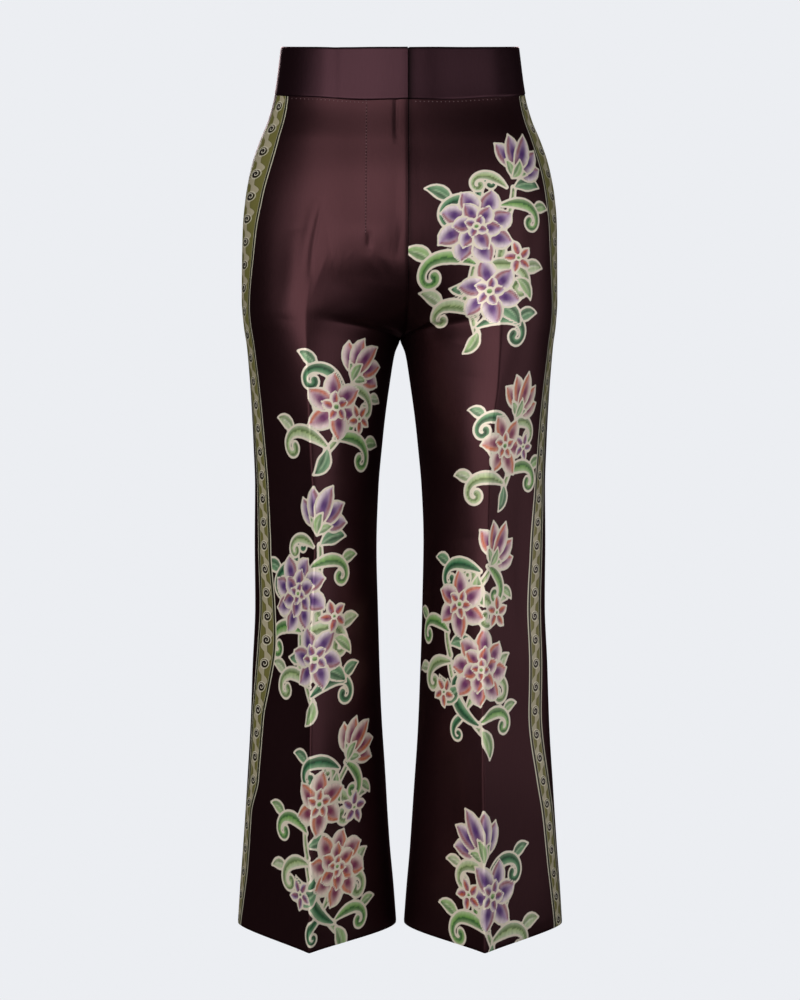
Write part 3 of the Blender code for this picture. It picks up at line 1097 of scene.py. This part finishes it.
def newGroup(name, inputs, outputs):
    # a node group: its inputs as signals by name, and the sockets for what it puts out
    group = bpy.data.node_groups.new(name, "ShaderNodeTree")
    for way, sockets in (("INPUT", inputs), ("OUTPUT", outputs)):
        for label, kind in sockets.items():
            group.interface.new_socket(name=label, in_out=way, socket_type="NodeSocket" + kind)
    given, out = group.nodes.new("NodeGroupInput").outputs, group.nodes.new("NodeGroupOutput").inputs
    return group, {label: Signal(given[label]) for label in inputs}, out


def satinGroup():
    # fine upright threads and a slight change of shade from place to place
    group, given, out = newGroup("satinWeave", {"Place": "Vector", "Colour": "Color", "Shade": "Float"},
                                  {"Colour": "Color", "Height": "Float", "Rough": "Float"})
    threads = noise(given["Place"], 900, 2, (1, 1, 0.06))
    cloudy = noise(given["Place"], 9, 2)
    # the Shade input is painted shade: it darkens the cloth at its seams and by the lap
    shade = (threads * 0.26 + cloudy * 0.24 + 0.75) * (1.0 - given["Shade"])
    feed(out["Colour"], scaled(given["Colour"], shade))
    feed(out["Height"], threads)
    feed(out["Rough"], cloudy * 0.10 + threads * 0.06)
    return group


def printGroup():
    # flowers and leaves: pale outlines where the edge value is near nothing, paint where it is above
    group, given, out = newGroup(
        "handPrint", {"Place": "Vector", "Edge": "Float", "Paint": "Color", "Ground": "Color"},
        {"Colour": "Color", "Mask": "Float"})
    line = noise(given["Place"], 130, 2) * 0.7 + (printLook["line"] - 0.35)
    outline = calc("MULTIPLY", line - abs(given["Edge"]), 2.2, clamp=True)
    inside = calc("MULTIPLY", given["Edge"], 2.2, clamp=True)
    streaks = noise(given["Place"], 260, 3, (1, 1, 0.5))
    painted = mixColour(inside, given["Ground"], scaled(given["Paint"], streaks * 0.6 + 0.7))
    feed(out["Colour"], mixColour(outline, painted, printLook["cream"]))
    feed(out["Mask"], calc("MAXIMUM", outline, inside))
    return group


def borderGroup():
    # the side border: olive with a paler wave, one small curl to each pitch, and a dark and a pale edge line
    group, given, out = newGroup("sideBorder", {"Border": "Vector", "Ground": "Color"},
                                  {"Colour": "Color", "Mask": "Float"})
    parts = addNode(given["Border"], "SeparateXYZ")
    feed(parts.inputs[0], given["Border"])
    across, along, half = map(Signal, parts.outputs)
    room = half - abs(across)  # millimetres to the border's edge
    band = calc("MULTIPLY", room, 1.5, clamp=True)

    def line(value, place, reach):
        return calc("MULTIPLY", reach - abs(value - place), 1.6, clamp=True)

    wave = calc("SINE", along * (2 * math.pi))
    middle = wave * (half * 0.26)
    swell = (abs(wave) * 0.20 + 0.17) * half
    cell = (calc("FRACT", along) - 0.5) * borderLook["pitch"]
    squeezed = across / half * 11.5
    radius = calc("SQRT", cell * cell + squeezed * squeezed)
    angle = calc("ARCTAN2", squeezed, cell) / (2 * math.pi)
    coil = abs(calc("FRACT", radius / 3.3 - angle) - 0.5)
    within = calc("SUBTRACT", 4.9, radius, clamp=True)
    curl = calc("MULTIPLY", 0.19 - coil, 9.0, clamp=True) * within
    layers = (
        (line(across, middle, swell) * 0.95, "wave"),
        (line(abs(across - middle), swell + 0.4, 0.5) * 0.7, "shade"),
        (line(radius, 5.3, 0.7), "line"),
        (within, "shade"),
        (curl, "line"),
    )
    colour = borderLook["fill"]
    for share, paint in layers:
        colour = mixColour(share, colour, borderLook[paint])
    colour = mixColour(band, given["Ground"], colour)
    for place, reach, paint in ((5.0, 0.55, "line"), (3.2, 1.8, "stripe"), (0.7, 1.1, "line")):
        colour = mixColour(line(room, place, reach), colour, borderLook[paint])
    feed(out["Colour"], colour)
    feed(out["Mask"], band)
    return group


def attribute(place, name, output):
    return Signal(addNode(place, "Attribute", attribute_name=name).outputs[output])


def useGroup(group, **given):
    near = [v for v in given.values() if isinstance(v, Signal)][0]
    node = addNode(near, "Group", node_tree=group)
    for label, value in given.items():
        feed(node.inputs[label], value)
    return {socket.name: Signal(socket) for socket in node.outputs}


def newMaterial(name):  # a material, the sockets of its shader, and the place on the piece
    material = bpy.data.materials.new(name)
    material.use_nodes = True
    shader = material.node_tree.nodes["Principled BSDF"].inputs
    return material, shader, Signal(addNode(shader[0], "TexCoord").outputs["Object"])


def addBump(shader, height, strength, distance):
    bump = addNode(height, "Bump")
    feed(bump.inputs["Strength"], strength)
    feed(bump.inputs["Distance"], distance)
    feed(bump.inputs["Height"], height)
    feed(shader["Normal"], Signal(bump.outputs["Normal"]))


def satinMaterial(name, colour, roughness, printed):
    material, shader, place = newMaterial(name)
    # painted shade at the seams and by the lap, read from the points
    shade = attribute(place, "seamShade", "Fac")
    weave = useGroup(weaveGroup, Place=place, Colour=colour, Shade=shade)
    shown, lustre = weave["Colour"], panelLook["lustre"]
    if printed:
        edge, paint = attribute(place, "printEdge", "Fac"), attribute(place, "printColour", "Color")
        art = useGroup(artGroup, Place=place, Edge=edge, Paint=paint, Ground=shown)
        across = attribute(place, "borderPlace", "Vector")
        border = useGroup(edgingGroup, Border=across, Ground=art["Colour"])
        shown = border["Colour"]
        painted = calc("MAXIMUM", art["Mask"], border["Mask"])
        lustre = lustre - painted * (lustre - panelLook["printLustre"])
    feed(shader["Metallic"], lustre)
    feed(shader["Base Color"], shown)
    feed(shader["Roughness"], weave["Rough"] + (roughness - 0.08))
    feed(shader["Specular IOR Level"], 0.6)
    feed(shader["Specular Tint"], (1.0, 0.66, 0.70, 1))
    addBump(shader, weave["Height"], 0.25, 0.0002)
    return material


def threadMaterial(shade):
    # twisted thread: lighter and darker along its length
    material, shader, place = newMaterial(shade + "Thread")
    twist = noise(place, 2400, 1)
    feed(shader["Base Color"], mixColour(twist * 0.3, stitchLook["colours"][shade], panelLook["ground"]))
    feed(shader["Roughness"], stitchLook["roughness"])
    feed(shader["Specular IOR Level"], stitchLook["shine"])
    addBump(shader, twist, 0.3, 0.0001)
    return material


weaveGroup = satinGroup()
artGroup = printGroup()
edgingGroup = borderGroup()
printedSatin = satinMaterial("printedSatin", panelLook["ground"], panelLook["roughness"], True)
bandSatin = satinMaterial("bandSatin", bandLook["colour"], bandLook["roughness"], False)
threadFinishes = {shade: threadMaterial(shade) for shade in stitchLook["colours"]}
print("materials made")

made = {}
for face in ("front", "back"):
    for side in ("right", "left"):
        piece, surface = makePanel(face, side)
        made[piece.name] = (piece, surface)
for side in ("right", "left"):
    piece, surface = makeBand(side)
    made[piece.name] = (piece, surface)

replaced = {
    "frontRight": "front_right", "frontLeft": "front_left",
    "backRight": "back_right", "backLeft": "back_left",
    "waistbandRight": "waistband_right", "waistbandLeft": "waistband_left",
}
for name, node in replaced.items():
    piece = made[name][0]
    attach(piece, "root")
    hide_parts(node)


def seenPlaces(surface, name):  # column and row of the picture for every point of a wall
    far = eyeDistance + surface[..., 1]
    focal = focalLength / filmWidth * pictureHeight
    column = middleColumn + focal * surface[..., 0] * mirrorOf(name) / far
    return np.stack([column, middleRow - focal * (surface[..., 2] - eyeHeight) / far], axis=-1)


def onCloth(name, column, row):
    # the point of a piece's outer wall at a column and row of the picture, and the way out of the cloth
    surface, mirror = made[name][1], mirrorOf(name)
    seen = seenPlaces(surface, name)
    off = np.linalg.norm(seen[1:-1, 1:-1] - [column, row], axis=2)
    i, j = [k + 1 for k in np.unravel_index(np.argmin(off), off.shape)]
    down = (surface[i + 1, j] - surface[i - 1, j]) / 2
    across = (surface[i, j + 1] - surface[i, j - 1]) / 2
    slopes = np.stack([seen[i + 1, j] - seen[i - 1, j], seen[i, j + 1] - seen[i, j - 1]], axis=1) / 2
    steps = np.linalg.solve(slopes, np.array([column, row]) - seen[i, j])
    outward = np.cross(across, down) * (-1 if name.startswith("back") else 1)
    point = (surface[i, j] + steps[0] * down + steps[1] * across) * [mirror, 1, 1]
    outward = outward * [mirror, 1, 1]
    return Vector(point) * 0.001, Vector(outward).normalized()


def stitchPlaces(run):
    # the columns and rows of one run of stitches, with the uneven steps of hand work
    count = round(math.dist((run["x1"], run["y1"]), (run["x2"], run["y2"])) / run["step"])
    rng = np.random.default_rng(int(run["x1"]))
    share = (np.arange(count + 1) + rng.uniform(-0.06, 0.06, count + 1)) / count
    columns = blend(run["x1"], run["x2"], share)
    rows = blend(run["y1"], run["y2"], share)
    if run["run"] == "band":
        edge = seenPlaces(made[run["piece"]][1][0], run["piece"])
        edge = edge[np.argsort(edge[:, 0])]
        rows = rows + np.interp(columns, edge[:, 0], edge[:, 1])
    return list(zip(columns, rows))


def makeStitch():
    # one stitch: a short thread with round ends, pressed a little flat
    selectOnly()
    radius = stitchLook["thickness"] / 2000
    depth = stitchLook["length"] / 1000
    bpy.ops.mesh.primitive_cylinder_add(vertices=stitchLook["sides"], radius=radius, depth=depth)
    stitch = bpy.context.active_object
    bpy.ops.object.mode_set(mode="EDIT")
    bpy.ops.mesh.select_mode(type="EDGE")
    bpy.ops.mesh.select_all(action="DESELECT")
    bpy.ops.object.mode_set(mode="OBJECT")
    points = stitch.data.vertices
    for edge in stitch.data.edges:
        ends = [points[k].co.z for k in edge.vertices]
        edge.select = abs(ends[0] - ends[1]) < radius
    bpy.ops.object.mode_set(mode="EDIT")
    bpy.ops.mesh.bevel(offset=radius * 0.7, segments=2, affect="EDGES")
    bpy.ops.mesh.select_all(action="SELECT")
    bpy.ops.transform.resize(value=(1, 0.8, 1), center_override=(0, 0, 0))
    bpy.ops.object.mode_set(mode="OBJECT")
    bpy.ops.object.shade_smooth_by_angle(angle=math.radians(50))
    return stitch


def makeStitches(run, name):
    # a run of stitches as one piece: each lies half in the cloth, along the run
    stitch = makeStitch()
    plain = stitch.data.copy()
    places = [onCloth(run["piece"], *place) for place in stitchPlaces(run)]
    copies = [stitch]
    for k, (point, outward) in enumerate(places):
        along = places[min(k + 1, len(places) - 1)][0] - places[max(k - 1, 0)][0]
        along = (along - along.dot(outward) * outward).normalized()
        if k:
            copies.append(bpy.data.objects.new(name, plain.copy()))
            bpy.context.scene.collection.objects.link(copies[k])
        turned = Matrix((along.cross(outward), outward, along)).transposed().to_4x4()
        copies[k].data.transform(Matrix.Translation(point) @ turned)
    selectOnly(*copies[1:], stitch)
    bpy.ops.object.join()
    stitch.name = name
    stitch.data.materials.clear()
    stitch.data.materials.append(threadFinishes[run["thread"]])
    bpy.data.meshes.remove(plain)
    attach(stitch, "root")
    print("stitches", name, len(places))


for run in readRows(stitchText):
    makeStitches(run, run["run"] + "Stitches" + run["piece"][0].upper() + run["piece"][1:])


def splitForCamera(tree, unseen, seen):  # the camera sees one shader, and all other light meets the other
    pick = tree.nodes.new("ShaderNodeMixShader")
    output = [n for n in tree.nodes if n.type.startswith("OUTPUT")][0]
    ray = tree.nodes.new("ShaderNodeLightPath").outputs["Is Camera Ray"]
    for source, socket in zip((ray, unseen.outputs[0], seen.outputs[0]), pick.inputs):
        tree.links.new(source, socket)
    tree.links.new(pick.outputs[0], output.inputs["Surface"])

# Stage: a pale floor and backdrop, and soft light from the front and a little to the left.
backdrop = "eceef2"
scene = bpy.context.scene
selectOnly()
bpy.ops.mesh.primitive_plane_add(size=1)
floor = bpy.context.active_object
floor.name = "floor"
bpy.ops.object.mode_set(mode="EDIT")
bpy.ops.transform.resize(value=(12, 12, 1), center_override=(0, 0, 0))
bpy.ops.transform.translate(value=(0, 0, -1.05))
bpy.ops.object.mode_set(mode="OBJECT")
selectOnly()
pale = bpy.data.materials.new("paleFloor")
pale.use_nodes = True
nodes = pale.node_tree.nodes
nodes.remove(nodes["Principled BSDF"])
glow = nodes.new("ShaderNodeEmission")
feed(glow.inputs["Color"], backdrop)
matte = nodes.new("ShaderNodeBsdfDiffuse")
feed(matte.inputs["Color"], (0.05, 0.05, 0.05, 1))
splitForCamera(pale.node_tree, matte, glow)
floor.data.materials.append(pale)

world = bpy.data.worlds.new("studio")
scene.world = world
world.use_nodes = True
dim = world.node_tree.nodes["Background"]
feed(dim.inputs["Color"], (0.80, 0.84, 0.90, 1))
feed(dim.inputs["Strength"], 0.016)
bright = world.node_tree.nodes.new("ShaderNodeBackground")
feed(bright.inputs["Color"], backdrop)
splitForCamera(world.node_tree, dim, bright)
scene.view_settings.view_transform = "Standard"

# Soft lights that aim at a height on the middle line, in metres and watts.
lightText = """
light        x     y     z  aimZ width height power tint
key      -1.25    -2  0.16  -0.4   2.2      2    38 warm
fill       1.8 -1.25  -0.2  -0.5   1.6      2    14 white
front      0.5  -2.4  0.45  -0.2   1.2    0.8   4.5 white
side        -2  -0.9  0.15 -0.15   0.8      1   3.6 white
edge       2.1  0.25  -0.5  -0.5   0.9    1.8     5 white
backKey    0.3   1.6   1.4 -0.45   0.8    1.5    34 warm
backFill  -0.5   1.8     1  -0.5   0.6    1.5    14 white
"""
tints = {"warm": (1.0, 0.97, 0.94), "white": (1, 1, 1)}
for row in readRows(lightText):
    lamp = bpy.data.lights.new(row["light"], "AREA")
    lamp.shape = "RECTANGLE"
    lamp.size, lamp.size_y = row["width"], row["height"]
    lamp.energy = row["power"]
    lamp.color = tints[row["tint"]]
    light = bpy.data.objects.new(row["light"], lamp)
    scene.collection.objects.link(light)
    light.location = (row["x"], row["y"], row["z"])
    yaw = math.atan2(-row["x"], -row["y"])
    pitch = math.atan2(row["aimZ"] - row["z"], math.hypot(row["x"], row["y"]))
    light.rotation_euler = (math.pi / 2 + pitch, 0, -yaw)

camera = bpy.data.cameras.new("camera")
camera.sensor_width = filmWidth
camera.lens = focalLength
eye = bpy.data.objects.new("camera", camera)
scene.collection.objects.link(eye)
eye.location = (0, -eyeDistance / 1000, eyeHeight / 1000)
eye.rotation_euler = (math.pi / 2, 0, 0)
scene.camera = eye
print("stage made")
